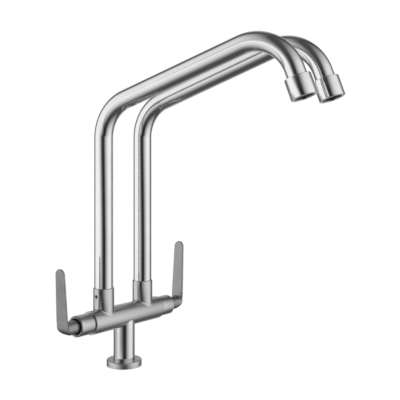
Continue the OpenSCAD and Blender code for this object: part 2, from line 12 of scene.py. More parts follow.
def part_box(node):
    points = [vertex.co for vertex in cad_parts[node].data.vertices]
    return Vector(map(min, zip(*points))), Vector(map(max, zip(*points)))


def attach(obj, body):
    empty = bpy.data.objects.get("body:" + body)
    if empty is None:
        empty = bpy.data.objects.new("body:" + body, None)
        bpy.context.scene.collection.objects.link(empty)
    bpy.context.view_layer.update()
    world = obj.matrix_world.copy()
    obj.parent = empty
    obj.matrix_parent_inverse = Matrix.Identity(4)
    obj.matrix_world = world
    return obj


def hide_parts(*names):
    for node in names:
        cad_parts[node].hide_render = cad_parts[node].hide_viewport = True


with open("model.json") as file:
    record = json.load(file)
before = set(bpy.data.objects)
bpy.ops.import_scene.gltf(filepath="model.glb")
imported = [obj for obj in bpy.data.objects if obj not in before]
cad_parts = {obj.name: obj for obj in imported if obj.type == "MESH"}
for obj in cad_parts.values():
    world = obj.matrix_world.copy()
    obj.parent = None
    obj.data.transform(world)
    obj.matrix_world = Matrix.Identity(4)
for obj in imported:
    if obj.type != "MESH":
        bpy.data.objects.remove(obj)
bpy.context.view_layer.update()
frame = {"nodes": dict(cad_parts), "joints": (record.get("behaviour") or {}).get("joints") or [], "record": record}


# The threaded inlet tail below the deck: a G 1/2 brass tube with a rolled thread of fourteen turns
# to the inch, brazed into the foot of the pillar. MM turns this file's millimetres into metres.
MM = 0.001


def node_tree(name, kind):
    tree = bpy.data.node_groups.new(name, kind)
    return tree, tree.nodes, tree.links


def add_input(tree, label, kind, value=None):
    socket = tree.interface.new_socket(label, in_out="INPUT", socket_type=kind)
    if value is not None:
        socket.default_value = value


def fine_noise_group():
    """Stretched noise as a value from 0 to 1: fine lines, stains or grain, by the three scales."""
    tree, nodes, links = node_tree("stretched_noise", "ShaderNodeTree")
    for label, value in [
        ("Scale X", 100.0),
        ("Scale Y", 100.0),
        ("Scale Z", 100.0),
        ("Detail", 2.0),
        ("Low", 0.3),
        ("High", 0.7),
    ]:
        add_input(tree, label, "NodeSocketFloat", value)
    tree.interface.new_socket("Mask", in_out="OUTPUT", socket_type="NodeSocketFloat")
    given = nodes.new("NodeGroupInput")
    place = nodes.new("ShaderNodeTexCoord")
    scale = nodes.new("ShaderNodeCombineXYZ")
    stretch = nodes.new("ShaderNodeVectorMath")
    stretch.operation = "MULTIPLY"
    noise = nodes.new("ShaderNodeTexNoise")
    noise.inputs["Scale"].default_value = 1.0
    levels = nodes.new("ShaderNodeMapRange")
    out = nodes.new("NodeGroupOutput")
    for axis in "XYZ":
        links.new(given.outputs["Scale " + axis], scale.inputs[axis])
    links.new(place.outputs["Object"], stretch.inputs[0])
    links.new(scale.outputs[0], stretch.inputs[1])
    links.new(stretch.outputs[0], noise.inputs["Vector"])
    links.new(given.outputs["Detail"], noise.inputs["Detail"])
    links.new(noise.outputs["Fac"], levels.inputs["Value"])
    links.new(given.outputs["Low"], levels.inputs["From Min"])
    links.new(given.outputs["High"], levels.inputs["From Max"])
    links.new(levels.outputs["Result"], out.inputs["Mask"])
    return tree


stretched_noise = fine_noise_group()


def surface(name, metallic):
    """A material and its Principled shader, with the share of metal set."""
    material = bpy.data.materials.new(name)
    material.use_nodes = True
    shader = material.node_tree.nodes["Principled BSDF"]
    shader.inputs["Metallic"].default_value = metallic
    return material, shader


def noise_mask(material, scale, detail=2.0, low=0.3, high=0.7):
    node = material.node_tree.nodes.new("ShaderNodeGroup")
    node.node_tree = stretched_noise
    for axis, value in zip("XYZ", scale):
        node.inputs["Scale " + axis].default_value = value
    node.inputs["Detail"].default_value = detail
    node.inputs["Low"].default_value = low
    node.inputs["High"].default_value = high
    return node.outputs["Mask"]


def vary_colour(material, shader, mask, dark, light):
    mix = material.node_tree.nodes.new("ShaderNodeMix")
    mix.data_type = "RGBA"
    mix.inputs["A"].default_value = (*dark, 1)
    mix.inputs["B"].default_value = (*light, 1)
    material.node_tree.links.new(mask, mix.inputs["Factor"])
    material.node_tree.links.new(mix.outputs["Result"], shader.inputs["Base Color"])


def vary_roughness(material, shader, mask, smooth, rough):
    levels = material.node_tree.nodes.new("ShaderNodeMapRange")
    levels.inputs["To Min"].default_value = smooth
    levels.inputs["To Max"].default_value = rough
    material.node_tree.links.new(mask, levels.inputs["Value"])
    material.node_tree.links.new(levels.outputs["Result"], shader.inputs["Roughness"])


def add_relief(material, shader, mask, depth):
    """Relief of the given depth in metres, laid over any relief that the shader already has."""
    bump = material.node_tree.nodes.new("ShaderNodeBump")
    bump.inputs["Distance"].default_value = depth
    bump.inputs["Strength"].default_value = 1.0
    material.node_tree.links.new(mask, bump.inputs["Height"])
    earlier = shader.inputs["Normal"].links
    if earlier:
        material.node_tree.links.new(earlier[0].from_socket, bump.inputs["Normal"])
    material.node_tree.links.new(bump.outputs["Normal"], shader.inputs["Normal"])


def turned_brass():
    material, shader = surface("turned_brass", 1.0)
    tarnish = noise_mask(material, (140, 140, 140), 4, 0.35, 0.7)
    lines = noise_mask(material, (60, 60, 5200))
    vary_colour(material, shader, tarnish, (0.60, 0.45, 0.20), (0.78, 0.64, 0.36))
    vary_roughness(material, shader, lines, 0.22, 0.36)
    add_relief(material, shader, lines, 0.00002)
    return material


brass = turned_brass()


def add_object(name, mesh, material, sharp_from=35):
    """Puts a finished mesh in the scene: outward faces, smooth but for its real edges."""
    work = bmesh.new()
    work.from_mesh(mesh)
    bmesh.ops.remove_doubles(work, verts=work.verts, dist=0.000002)
    bmesh.ops.recalc_face_normals(work, faces=work.faces)
    work.to_mesh(mesh)
    work.free()
    mesh.materials.clear()
    mesh.materials.append(material)
    mesh.shade_smooth()
    mesh.set_sharp_from_angle(angle=math.radians(sharp_from))
    piece = bpy.data.objects.new(name, mesh)
    bpy.context.scene.collection.objects.link(piece)
    return piece


def soft_outline(corners, steps=6):
    """A closed flat outline with rounded corners: each corner is (first, second, rounding)."""
    points = []
    count = len(corners)
    for i, (a, b, rounding) in enumerate(corners):
        here = Vector((a, b))
        if rounding <= 0:
            points.append(here)
            continue
        back = (Vector(corners[i - 1][:2]) - here).normalized()
        ahead = (Vector(corners[(i + 1) % count][:2]) - here).normalized()
        half = back.angle(ahead) / 2
        reach = rounding / math.tan(half)
        centre = here + (back + ahead).normalized() * (rounding / math.sin(half))
        first = here + back * reach - centre
        last = here + ahead * reach - centre
        for k in range(steps + 1):
            spot = first.lerp(last, k / steps).normalized() * rounding
            points.append(centre + spot)
    return points


def turns(steps):
    """The bearings of the points on a ring."""
    return [2 * math.pi * k / steps for k in range(steps)]


def ringed_mesh(name, points, steps):
    """A closed skin over rings of points, whose last ring is joined back to the first."""
    rows = len(points) // steps
    faces = []
    for row in range(rows):
        here = row * steps
        above = (row + 1) % rows * steps
        for k in range(steps):
            beside = (k + 1) % steps
            faces.append((here + k, here + beside, above + beside, above + k))
    mesh = bpy.data.meshes.new(name)
    mesh.from_pydata(points, [], faces)
    return mesh


def turned_mesh(name, outline, place=Matrix(), steps=128):
    """A turned piece: a closed outline of (radius, height) spun about Z, then placed."""
    points = []
    for radius, height in outline:
        for turn in turns(steps):
            spot = Vector((radius * math.cos(turn), radius * math.sin(turn), height))
            points.append(place @ (spot * MM))
    return ringed_mesh(name, points, steps)


def size_of(node):
    """A node's lowest and highest corners."""
    low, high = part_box(node)
    return Vector(low) / MM, Vector(high) / MM


RIDGE_WIDTH_SHARE = 0.92
RIDGE_HALF_HEIGHT_SHARE = 0.42


def thread_geometry():
    """Geometry Nodes: a ridge swept along a helix, with named sizes in metres, as one plain mesh."""
    tree, nodes, links = node_tree("screw_thread", "GeometryNodeTree")
    add_input(tree, "Root Radius", "NodeSocketFloat", 0.0096)
    add_input(tree, "Pitch", "NodeSocketFloat", 0.0018)
    add_input(tree, "Turns", "NodeSocketFloat", 10.0)
    add_input(tree, "Start Height", "NodeSocketFloat", 0.0)
    add_input(tree, "Finish", "NodeSocketMaterial")
    tree.interface.new_socket("Mesh", in_out="OUTPUT", socket_type="NodeSocketGeometry")
    given = nodes.new("NodeGroupInput")
    helix = nodes.new("GeometryNodeCurveSpiral")
    helix.inputs["Resolution"].default_value = 64
    length = nodes.new("ShaderNodeMath")
    length.operation = "MULTIPLY"
    ridge = nodes.new("GeometryNodeCurvePrimitiveQuadrilateral")
    ridge.mode = "KITE"
    narrow = nodes.new("ShaderNodeMath")
    narrow.operation = "MULTIPLY"
    narrow.inputs[1].default_value = RIDGE_WIDTH_SHARE
    tall = nodes.new("ShaderNodeMath")
    tall.operation = "MULTIPLY"
    tall.inputs[1].default_value = RIDGE_HALF_HEIGHT_SHARE
    sweep = nodes.new("GeometryNodeCurveToMesh")
    sweep.inputs["Fill Caps"].default_value = True
    upright = nodes.new("GeometryNodeSetCurveNormal")
    upright.mode = "Z_UP"
    lift = nodes.new("ShaderNodeCombineXYZ")
    move = nodes.new("GeometryNodeTransform")
    real = nodes.new("GeometryNodeRealizeInstances")
    paint = nodes.new("GeometryNodeSetMaterial")
    out = nodes.new("NodeGroupOutput")
    links.new(given.outputs["Turns"], helix.inputs["Rotations"])
    links.new(given.outputs["Root Radius"], helix.inputs["Start Radius"])
    links.new(given.outputs["Root Radius"], helix.inputs["End Radius"])
    links.new(given.outputs["Turns"], length.inputs[0])
    links.new(given.outputs["Pitch"], length.inputs[1])
    links.new(length.outputs[0], helix.inputs["Height"])
    links.new(given.outputs["Pitch"], narrow.inputs[0])
    links.new(given.outputs["Pitch"], tall.inputs[0])
    links.new(narrow.outputs[0], ridge.inputs["Width"])
    links.new(tall.outputs[0], ridge.inputs["Bottom Height"])
    links.new(tall.outputs[0], ridge.inputs["Top Height"])
    links.new(helix.outputs["Curve"], upright.inputs["Curve"])
    links.new(upright.outputs["Curve"], sweep.inputs["Curve"])
    links.new(ridge.outputs["Curve"], sweep.inputs["Profile Curve"])
    links.new(given.outputs["Start Height"], lift.inputs["Z"])
    links.new(sweep.outputs["Mesh"], move.inputs["Geometry"])
    links.new(lift.outputs[0], move.inputs["Translation"])
    links.new(move.outputs["Geometry"], real.inputs["Geometry"])
    links.new(real.outputs["Geometry"], paint.inputs["Geometry"])
    links.new(given.outputs["Finish"], paint.inputs["Material"])
    links.new(paint.outputs["Geometry"], out.inputs["Mesh"])
    return tree


def grown_mesh(name, tree, values):
    """Runs a Geometry Nodes tree with the named values and gives its result as a plain mesh."""
    holder = bpy.data.objects.new(name, bpy.data.meshes.new(name))
    bpy.context.scene.collection.objects.link(holder)
    modifier = holder.modifiers.new(name, "NODES")
    modifier.node_group = tree
    for item in tree.interface.items_tree:
        if item.in_out == "INPUT" and item.name in values:
            modifier[item.identifier] = values[item.name]
    ready = holder.evaluated_get(bpy.context.evaluated_depsgraph_get())
    mesh = bpy.data.meshes.new_from_object(ready)
    holder.modifiers.remove(modifier)
    bpy.data.objects.remove(holder)
    return mesh


def joined_mesh(name, meshes):
    work = bmesh.new()
    for mesh in meshes:
        work.from_mesh(mesh)
    whole = bpy.data.meshes.new(name)
    work.to_mesh(whole)
    work.free()
    return whole


THREAD_PITCH = 1.814
THREAD_R = 20.955 / 2
THREAD_DEPTH = 0.58 * THREAD_PITCH
THREAD_ROOT = THREAD_R - THREAD_DEPTH
THREAD_END = -0.9
TAIL_BORE_R = 7.5
TAIL_COLLAR_START = 0.8
TAIL_COLLAR_END = 2.0
tail_low, tail_high = size_of("threaded_tail")
spigot_r = tail_high.x
thread_start = tail_low.z + 1.3
tail_core = turned_mesh("tail_core", soft_outline([
    (TAIL_BORE_R, tail_low.z, 0.4),
    (THREAD_ROOT - 0.3, tail_low.z, 0.3),
    (THREAD_ROOT, tail_low.z + 1.0, 0),
    (THREAD_ROOT, TAIL_COLLAR_START - 0.4, 0),
    (THREAD_R, TAIL_COLLAR_START, 0),
    (THREAD_R, TAIL_COLLAR_END, 0),
    (spigot_r, TAIL_COLLAR_END, 0),
    (spigot_r, tail_high.z, 0.5),
    (TAIL_BORE_R, tail_high.z, 0.4),
]))
tail_thread = grown_mesh("tail_thread", thread_geometry(), {
    "Root Radius": (THREAD_ROOT + 0.02) * MM,
    "Pitch": THREAD_PITCH * MM,
    "Turns": (THREAD_END - thread_start) / THREAD_PITCH,
    "Start Height": thread_start * MM,
})
tail = add_object("inlet_tail", joined_mesh("inlet_tail", [tail_core, tail_thread]), brass, 25)
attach(tail, "tap_body")
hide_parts("threaded_tail")


# The backnut: a brass hexagon with turned, chamfered faces, run up the tail from below by hand and
# then by spanner until the two washers grip the deck.
def hexagon_nut(name, across_flats, low, high, bore_r, steps=96):
    """A nut as rings round a hexagon: bore, chamfered lower face, flats, chamfered upper face."""
    chamfer = 1.3
    bore_ease = 0.6
    corner = across_flats / 2 / math.cos(math.pi / 6)
    inside_flats = 0.3
    touch = across_flats / 2 - inside_flats
    slope = chamfer / (corner - touch)

    def flat_reach(turn):
        within = (turn + math.pi / 6) % (math.pi / 3) - math.pi / 6
        return across_flats / 2 / math.cos(within)

    rows = [
        lambda turn: (bore_r, low + bore_ease),
        lambda turn: (bore_r + bore_ease, low),
        lambda turn: (touch, low),
        lambda turn: (flat_reach(turn), low + (flat_reach(turn) - touch) * slope),
        lambda turn: (flat_reach(turn), high - (flat_reach(turn) - touch) * slope),
        lambda turn: (touch, high),
        lambda turn: (bore_r + bore_ease, high),
        lambda turn: (bore_r, high - bore_ease),
    ]
    points = []
    for row in rows:
        for turn in turns(steps):
            radius, height = row(turn)
            points.append(Vector((radius * math.cos(turn), radius * math.sin(turn), height)) * MM)
    return ringed_mesh(name, points, steps)


nut_low, nut_high = size_of("backnut")
nut_mesh = hexagon_nut("backnut_hexagon", nut_high.y - nut_low.y, nut_low.z, nut_high.z, THREAD_R + 0.05)
backnut = add_object("backnut_hexagon", nut_mesh, brass, 20)
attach(backnut, "tap_body")
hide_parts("backnut")


# The backing washer: a stamped stainless plate, tumbled until its edges are eased. Under it the
# backnut turns, above it the rubber is squeezed.
def mill_steel():
    material, shader = surface("mill_steel", 1.0)
    cloud = noise_mask(material, (90, 90, 90), 4, 0.3, 0.75)
    grain = noise_mask(material, (3200, 260, 3200))
    vary_colour(material, shader, cloud, (0.40, 0.41, 0.42), (0.54, 0.55, 0.56))
    vary_roughness(material, shader, grain, 0.30, 0.46)
    add_relief(material, shader, grain, 0.00001)
    return material


plain_steel = mill_steel()
WASHER_BORE_R = THREAD_R + 0.25


def washer(name, node, edge, material):
    low, high = size_of(node)
    outline = soft_outline([
        (WASHER_BORE_R, low.z, edge / 2),
        (high.x, low.z, edge),
        (high.x, high.z, edge),
        (WASHER_BORE_R, high.z, edge / 2),
    ])
    piece = add_object(name, turned_mesh(name, outline), material)
    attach(piece, "tap_body")
    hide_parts(node)


washer("backing_plate", "backing_washer", 0.3, plain_steel)


# The rubber washer under the deck and the gasket under the flange: moulded black rubber with
# rounded edges, a little bloom on the skin and a fine moulded grain.
def moulded_rubber():
    material, shader = surface("moulded_rubber", 0.0)
    shader.inputs["IOR"].default_value = 1.5
    bloom = noise_mask(material, (170, 170, 170), 5, 0.42, 0.75)
    grain = noise_mask(material, (3500, 3500, 3500), 3)
    vary_colour(material, shader, bloom, (0.018, 0.018, 0.019), (0.045, 0.045, 0.048))
    vary_roughness(material, shader, bloom, 0.62, 0.82)
    add_relief(material, shader, grain, 0.00003)
    return material


rubber = moulded_rubber()
washer("rubber_washer", "under_deck_washer", 0.6, rubber)
washer("flange_gasket", "deck_gasket", 0.4, rubber)


# The deck flange: a turned stainless cover, hollow below for the gasket, with a rounded rim. Its
# side keeps the finish of the lathe, and its top is buffed, so that the pillar is mirrored in it. The
# top is also painted darker than the side: painted shade.
def turned_steel():
    material, shader = surface("turned_steel", 1.0)
    cloud = noise_mask(material, (60, 60, 60), 3, 0.3, 0.7)
    vary_colour(material, shader, cloud, (0.64, 0.64, 0.645), (0.72, 0.72, 0.725))
    place = material.node_tree.nodes.new("ShaderNodeTexCoord")
    rings = material.node_tree.nodes.new("ShaderNodeTexWave")
    rings.wave_type = "RINGS"
    rings.rings_direction = "Z"
    rings.inputs["Scale"].default_value = 420
    rings.inputs["Distortion"].default_value = 0.6
    rings.inputs["Detail"].default_value = 2.0
    material.node_tree.links.new(place.outputs["Object"], rings.inputs["Vector"])
    vary_roughness(material, shader, rings.outputs["Fac"], 0.32, 0.40)
    add_relief(material, shader, rings.outputs["Fac"], 0.000008)
    return material


def buffed_top_painted_shade():
    """The flange's top, which the buffing wheel reaches: smoother than its rim, and darker with painted shade."""
    material, shader = surface("buffed_top_steel_painted_shade", 1.0)
    cloud = noise_mask(material, (70, 70, 70), 3, 0.3, 0.7)
    vary_colour(material, shader, cloud, (0.42, 0.42, 0.425), (0.50, 0.50, 0.505))
    vary_roughness(material, shader, cloud, 0.22, 0.28)
    return material


def second_finish(piece, material, chosen):
    """Gives a piece a second material on the faces whose normals are chosen."""
    piece.data.materials.append(material)
    for face in piece.data.polygons:
        face.material_index = 1 if chosen(face.normal) else 0


flange_steel = turned_steel()
PILLAR_R = size_of("pillar_tube")[1].x
FLANGE_BORE_R = PILLAR_R + 0.15
FLANGE_WALL = 2.7
GASKET_T = size_of("deck_gasket")[1].z
flange_high = size_of("deck_flange")[1]
FLANGE_R = flange_high.x
FLANGE_TOP = flange_high.z - 0.1
flange = add_object("flange_cover", turned_mesh("flange_cover", soft_outline([
    (FLANGE_BORE_R, GASKET_T, 0),
    (FLANGE_R - FLANGE_WALL, GASKET_T, 0.3),
    (FLANGE_R - FLANGE_WALL, 0, 0.2),
    (FLANGE_R, 0, 0.25),
    (FLANGE_R, FLANGE_TOP, 1.2),
    (FLANGE_BORE_R, FLANGE_TOP, 0.1),
]), steps=192), flange_steel, 30)
# The upward faces take the darker top material: painted shade on the flange's top.
second_finish(flange, buffed_top_painted_shade(), lambda normal: normal.z > 0.7)
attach(flange, "tap_body")
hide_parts("deck_flange")


# The pillar: a polished stainless tube that stands in the flange and is shaped and brazed to the
# underside of the bar. The polish carries faint hairlines and a little dried-water haze.
def polished_steel():
    material, shader = surface("polished_steel", 1.0)
    haze = noise_mask(material, (35, 35, 35), 4, 0.35, 0.75)
    hairlines = noise_mask(material, (900, 900, 30), 2, 0.45, 0.8)
    vary_colour(material, shader, haze, (0.86, 0.86, 0.865), (0.91, 0.91, 0.91))
    vary_roughness(material, shader, haze, 0.085, 0.125)
    add_relief(material, shader, hairlines, 0.000002)
    return material


mirror_steel = polished_steel()
PILLAR_BORE_R = PILLAR_R - 1.5
pillar_low, pillar_high = size_of("pillar_tube")
PILLAR_TOP = pillar_high.z - 0.3
pillar = add_object("pillar_pipe", turned_mesh("pillar_pipe", soft_outline([
    (PILLAR_BORE_R, pillar_low.z, 0.3),
    (PILLAR_R, pillar_low.z, 0.3),
    (PILLAR_R, PILLAR_TOP, 0),
    (PILLAR_BORE_R, PILLAR_TOP, 0),
]), steps=192), mirror_steel)
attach(pillar, "tap_body")
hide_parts("pillar_tube")


# The bar body: a thick brushed stainless bar, bored from both ends for the valves, with two upright
# sockets let into its top and blended to it by small ground fillets. A lock screw's hole is drilled
# in the outer side of each socket.
def brushed_steel(name, along, dark, light, smooth, rough):
    """Brushed steel whose lines run along one axis, with faint clouds left by the polishing belt."""
    material, shader = surface(name, 1.0)
    lines_scale = tuple(70 if axis == along else 4200 for axis in "XYZ")
    belt_scale = tuple(18 if axis == along else 420 for axis in "XYZ")
    lines = noise_mask(material, lines_scale, 3)
    belt = noise_mask(material, belt_scale, 3, 0.32, 0.68)
    vary_colour(material, shader, belt, dark, light)
    vary_roughness(material, shader, belt, smooth, rough)
    add_relief(material, shader, lines, 0.000004)
    add_relief(material, shader, belt, 0.000005)
    return material


bar_steel = brushed_steel("brushed_bar_steel", "X", (0.58, 0.58, 0.585), (0.65, 0.65, 0.655), 0.25, 0.32)

SIDES = {"left": -1, "right": 1}
bar_low, bar_high = size_of("bar_body")
BAR_R = bar_high.y
BAR_Z = bar_low.z + BAR_R
BAR_END = bar_high.x
BAR_BORE_R = BAR_R - 3.0
WATER_WAY_R = 2.5
swivel = next(joint for joint in frame["joints"] if joint["name"] == "right_spout_swivel")
SWIVEL_X, SOCKET_Y, _ = Vector(swivel["pos_m"]) / MM
WEB_TO_SWIVEL = 13.0
WEB_X = SWIVEL_X - WEB_TO_SWIVEL


def along_bar(sign):
    """Lays a turned piece on the bar axis, pointing out of the given end."""
    return Matrix.Translation((0, 0, BAR_Z * MM)) @ Matrix.Rotation(sign * math.pi / 2, 4, "Y")


bar = add_object("bar_shell", turned_mesh("bar_tube", soft_outline([
    (BAR_BORE_R, -BAR_END, 0.3),
    (BAR_R, -BAR_END, 0.5),
    (BAR_R, BAR_END, 0.5),
    (BAR_BORE_R, BAR_END, 0.3),
    (BAR_BORE_R, WEB_X, 0),
    (WATER_WAY_R, WEB_X, 0),
    (WATER_WAY_R, -WEB_X, 0),
    (BAR_BORE_R, -WEB_X, 0),
]), along_bar(1), 192), bar_steel)
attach(bar, "tap_body")
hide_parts("bar_body")

socket_steel = brushed_steel("brushed_socket_steel", "Z",
                             (0.58, 0.58, 0.585), (0.65, 0.65, 0.655), 0.20, 0.27)
TUBE_R = 11.0
SOCKET_R = 12.2
SOCKET_MOUTH_R = TUBE_R + 0.1
SOCKET_BORE_R = 8.0
SOCKET_BORE_END_Z = BAR_Z + 2.0
RIM_Z = bar_high.z
MOUTH_FLOOR_Z = RIM_Z - 5.0
SADDLE_FILLET = 1.3
FOOT_SINK = 0.03
LOWEST_FOOT_Z = BAR_Z + 1.0
LOCK_HOLE_DEPTH = 3.0


def saddle_height(y):
    """The height of the bar's upper side at a distance y from its axis."""
    return BAR_Z + math.sqrt(max(BAR_R ** 2 - min(abs(y), BAR_R) ** 2, 0.0))


def socket_mesh(name, centre_x, steps=192, fillet_steps=7):
    """A socket from its rim down to the bar, flared at the foot by a hollow fillet that follows the
    saddle line, with a chamfered rim and a bore."""
    def ring(radius, height):
        return [Vector((centre_x + radius * math.cos(turn), SOCKET_Y + radius * math.sin(turn), height)) * MM
                for turn in turns(steps)]

    points = []
    for radius, height in [
        (SOCKET_MOUTH_R, MOUTH_FLOOR_Z),
        (SOCKET_MOUTH_R, RIM_Z - 0.35),
        (SOCKET_MOUTH_R + 0.35, RIM_Z),
        (SOCKET_R - 0.6, RIM_Z),
        (SOCKET_R - 0.45, RIM_Z - 0.08),
        (SOCKET_R - 0.1, RIM_Z - 0.45),
        (SOCKET_R, RIM_Z - 0.7),
    ]:
        points += ring(radius, height)
    for row in range(fillet_steps + 1):
        down = row / fillet_steps
        bend = math.pi / 2 * down
        out = SOCKET_R + SADDLE_FILLET * (1 - math.cos(bend))
        for turn in turns(steps):
            foot_z = saddle_height(SOCKET_Y + (SOCKET_R + SADDLE_FILLET) * math.sin(turn))
            y = SOCKET_Y + out * math.sin(turn)
            top = max(foot_z, LOWEST_FOOT_Z) + SADDLE_FILLET
            z = saddle_height(y) + (top - foot_z) * (1 - math.sin(bend)) - FOOT_SINK * down
            y = max(-BAR_R, min(BAR_R, y))
            points.append(Vector((centre_x + out * math.cos(turn), y, z)) * MM)
    points += ring(SOCKET_BORE_R, SOCKET_BORE_END_Z)
    points += ring(SOCKET_BORE_R, MOUTH_FLOOR_Z)
    return ringed_mesh(name, points, steps)


def drill(piece, place, radius, depth):
    """Drills a round hole into a finished piece: place's Z axis points out of the hole's mouth."""
    work = bmesh.new()
    bmesh.ops.create_cone(work, cap_ends=True, segments=48, radius1=radius * MM,
                          radius2=radius * MM, depth=2 * depth * MM, matrix=place)
    core = bpy.data.meshes.new("cutter")
    work.to_mesh(core)
    work.free()
    cutter = bpy.data.objects.new("cutter", core)
    bpy.context.scene.collection.objects.link(cutter)
    cut = piece.modifiers.new("hole", "BOOLEAN")
    cut.operation = "DIFFERENCE"
    cut.solver = "EXACT"
    cut.object = cutter
    ready = piece.evaluated_get(bpy.context.evaluated_depsgraph_get())
    drilled = bpy.data.meshes.new_from_object(ready)
    piece.modifiers.remove(cut)
    bpy.data.objects.remove(cutter)
    piece.data = drilled


for side, sign in SIDES.items():
    socket = add_object("socket_" + side, socket_mesh("socket_" + side, sign * SWIVEL_X), socket_steel)
    screw_low, screw_high = size_of("lock_screw_" + side)
    screw_z = (screw_low.z + screw_high.z) / 2
    screw_end = max(abs(screw_low.x), abs(screw_high.x))
    mouth = Matrix.Translation(Vector((sign * screw_end, SOCKET_Y, screw_z)) * MM)
    hole_r = (screw_high.z - screw_low.z) / 2 + 0.1
    drill(socket, mouth @ Matrix.Rotation(sign * math.pi / 2, 4, "Y"), hole_r, LOCK_HOLE_DEPTH)
    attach(socket, "tap_body")
    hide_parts("bar_body")


# The end sleeves: brushed stainless covers screwed over the valve necks, rounded at the outer edge,
# with faced ends, which are painted darker as painted shade. In the open middle the lever's hub comes
# out of a dark ring, which is that painted shade.
sleeve_steel = brushed_steel("brushed_sleeve_steel", "X",
                             (0.57, 0.57, 0.575), (0.67, 0.67, 0.675), 0.22, 0.30)


def end_face_with_painted_shade():
    """The lathe-faced end of a sleeve: coarser than its side, and darker with painted shade."""
    material, shader = surface("sleeve_end_steel_painted_shade", 1.0)
    cloud = noise_mask(material, (160, 160, 160), 3)
    grain = noise_mask(material, (900, 3000, 3000), 3)
    vary_colour(material, shader, cloud, (0.28, 0.28, 0.284), (0.36, 0.36, 0.364))
    vary_roughness(material, shader, grain, 0.38, 0.5)
    add_relief(material, shader, grain, 0.00001)
    return material


end_face_painted_shade = end_face_with_painted_shade()
SLEEVE_BORE_R = 9.4
for side, sign in SIDES.items():
    low, high = size_of("end_sleeve_" + side)
    near, far = sorted((abs(low.x), abs(high.x)))
    sleeve = add_object("sleeve_" + side, turned_mesh("sleeve_" + side, soft_outline([
        (SLEEVE_BORE_R, near, 0.2),
        (high.y, near, 0.5),
        (high.y, far, 1.3),
        (SLEEVE_BORE_R, far, 0.35),
    ]), along_bar(sign), 192), sleeve_steel)
    # The faces that look along the bar take the darker end material: painted shade.
    second_finish(sleeve, end_face_painted_shade, lambda normal: abs(normal.x) > 0.35)
    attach(sleeve, "tap_body")
    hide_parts("end_sleeve_" + side)


# The levers: investment-cast stainless, bead-blasted to a satin skin. A round hub carries a thin
# upright blade; the heel between them is one large round, and every edge is eased.
def satin_steel():
    material, shader = surface("satin_steel", 1.0)
    cloud = noise_mask(material, (45, 45, 30), 3, 0.3, 0.7)
    grain = noise_mask(material, (2600, 2600, 2600), 3)
    vary_colour(material, shader, cloud, (0.33, 0.33, 0.335), (0.40, 0.40, 0.405))
    vary_roughness(material, shader, cloud, 0.30, 0.38)
    add_relief(material, shader, grain, 0.000008)
    return material


lever_steel = satin_steel()


def soft_max(a, b, rounding):
    """The shared part of two forms, with the edge between them rounded."""
    inner_a, inner_b = a + rounding, b + rounding
    outside = np.hypot(np.maximum(inner_a, 0), np.maximum(inner_b, 0))
    return np.minimum(np.maximum(inner_a, inner_b), 0) + outside - rounding


def soft_min(a, b, rounding):
    """Two forms together, with a hollow fillet between them."""
    return -soft_max(-a, -b, rounding)


HUB_R = 8.0
HUB_START = 70.0
HUB_EDGE = 0.4
BLADE_X = 97.2
BLADE_T = 2.5
BLADE_EDGE = 0.7
BLADE_FOOT_R = 8.7
BLADE_TIP_R = 7.1
BLADE_WIDEST = 10.0
BLADE_ROOT_FILLET = 2.2
LEAN = math.radians(3.2)
HEEL_R = 12.5
HEEL_EDGE = 0.6
STEM_BORE_R = 4.05
STEM_BORE_END = 88.5
GRUB_X = 82.0
GRUB_HOLE_R = 2.55
GRUB_HOLE_TOP = -1.0


def lever_form(x, y, z, tip_z):
    """Distance to a lever's skin, measured from the tap's middle on the bar axis."""
    hub = soft_max(np.hypot(y, z) - HUB_R, HUB_START - x, HUB_EDGE)
    out = (x - BLADE_X) * math.cos(LEAN) - z * math.sin(LEAN)
    taper = math.atan((BLADE_FOOT_R - BLADE_TIP_R) / (tip_z - BLADE_WIDEST))
    flare = math.atan((BLADE_FOOT_R - HUB_R) / BLADE_WIDEST)
    side = (np.abs(y) - BLADE_TIP_R + (z - tip_z) * math.tan(taper)) * math.cos(taper)
    root = (np.abs(y) - HUB_R - z * math.tan(flare)) * math.cos(flare)
    tip = np.hypot(y, z - tip_z) - BLADE_TIP_R
    foot = np.hypot(y, z) - HUB_R
    outline = np.where(z > tip_z, tip, np.where(z < 0, foot, np.maximum(side, root)))
    blade = soft_max(np.abs(out) - BLADE_T / 2, outline, BLADE_EDGE)
    joined = soft_min(hub, blade, BLADE_ROOT_FILLET)
    heel = soft_max(out - BLADE_T / 2, -HUB_R - z, HEEL_R)
    whole = soft_max(joined, heel, HEEL_EDGE)
    stem = np.maximum(np.hypot(y, z) - STEM_BORE_R, x - STEM_BORE_END)
    grub = np.maximum(np.hypot(x - GRUB_X, y) - GRUB_HOLE_R, z - GRUB_HOLE_TOP)
    return np.maximum(whole, -np.minimum(stem, grub))


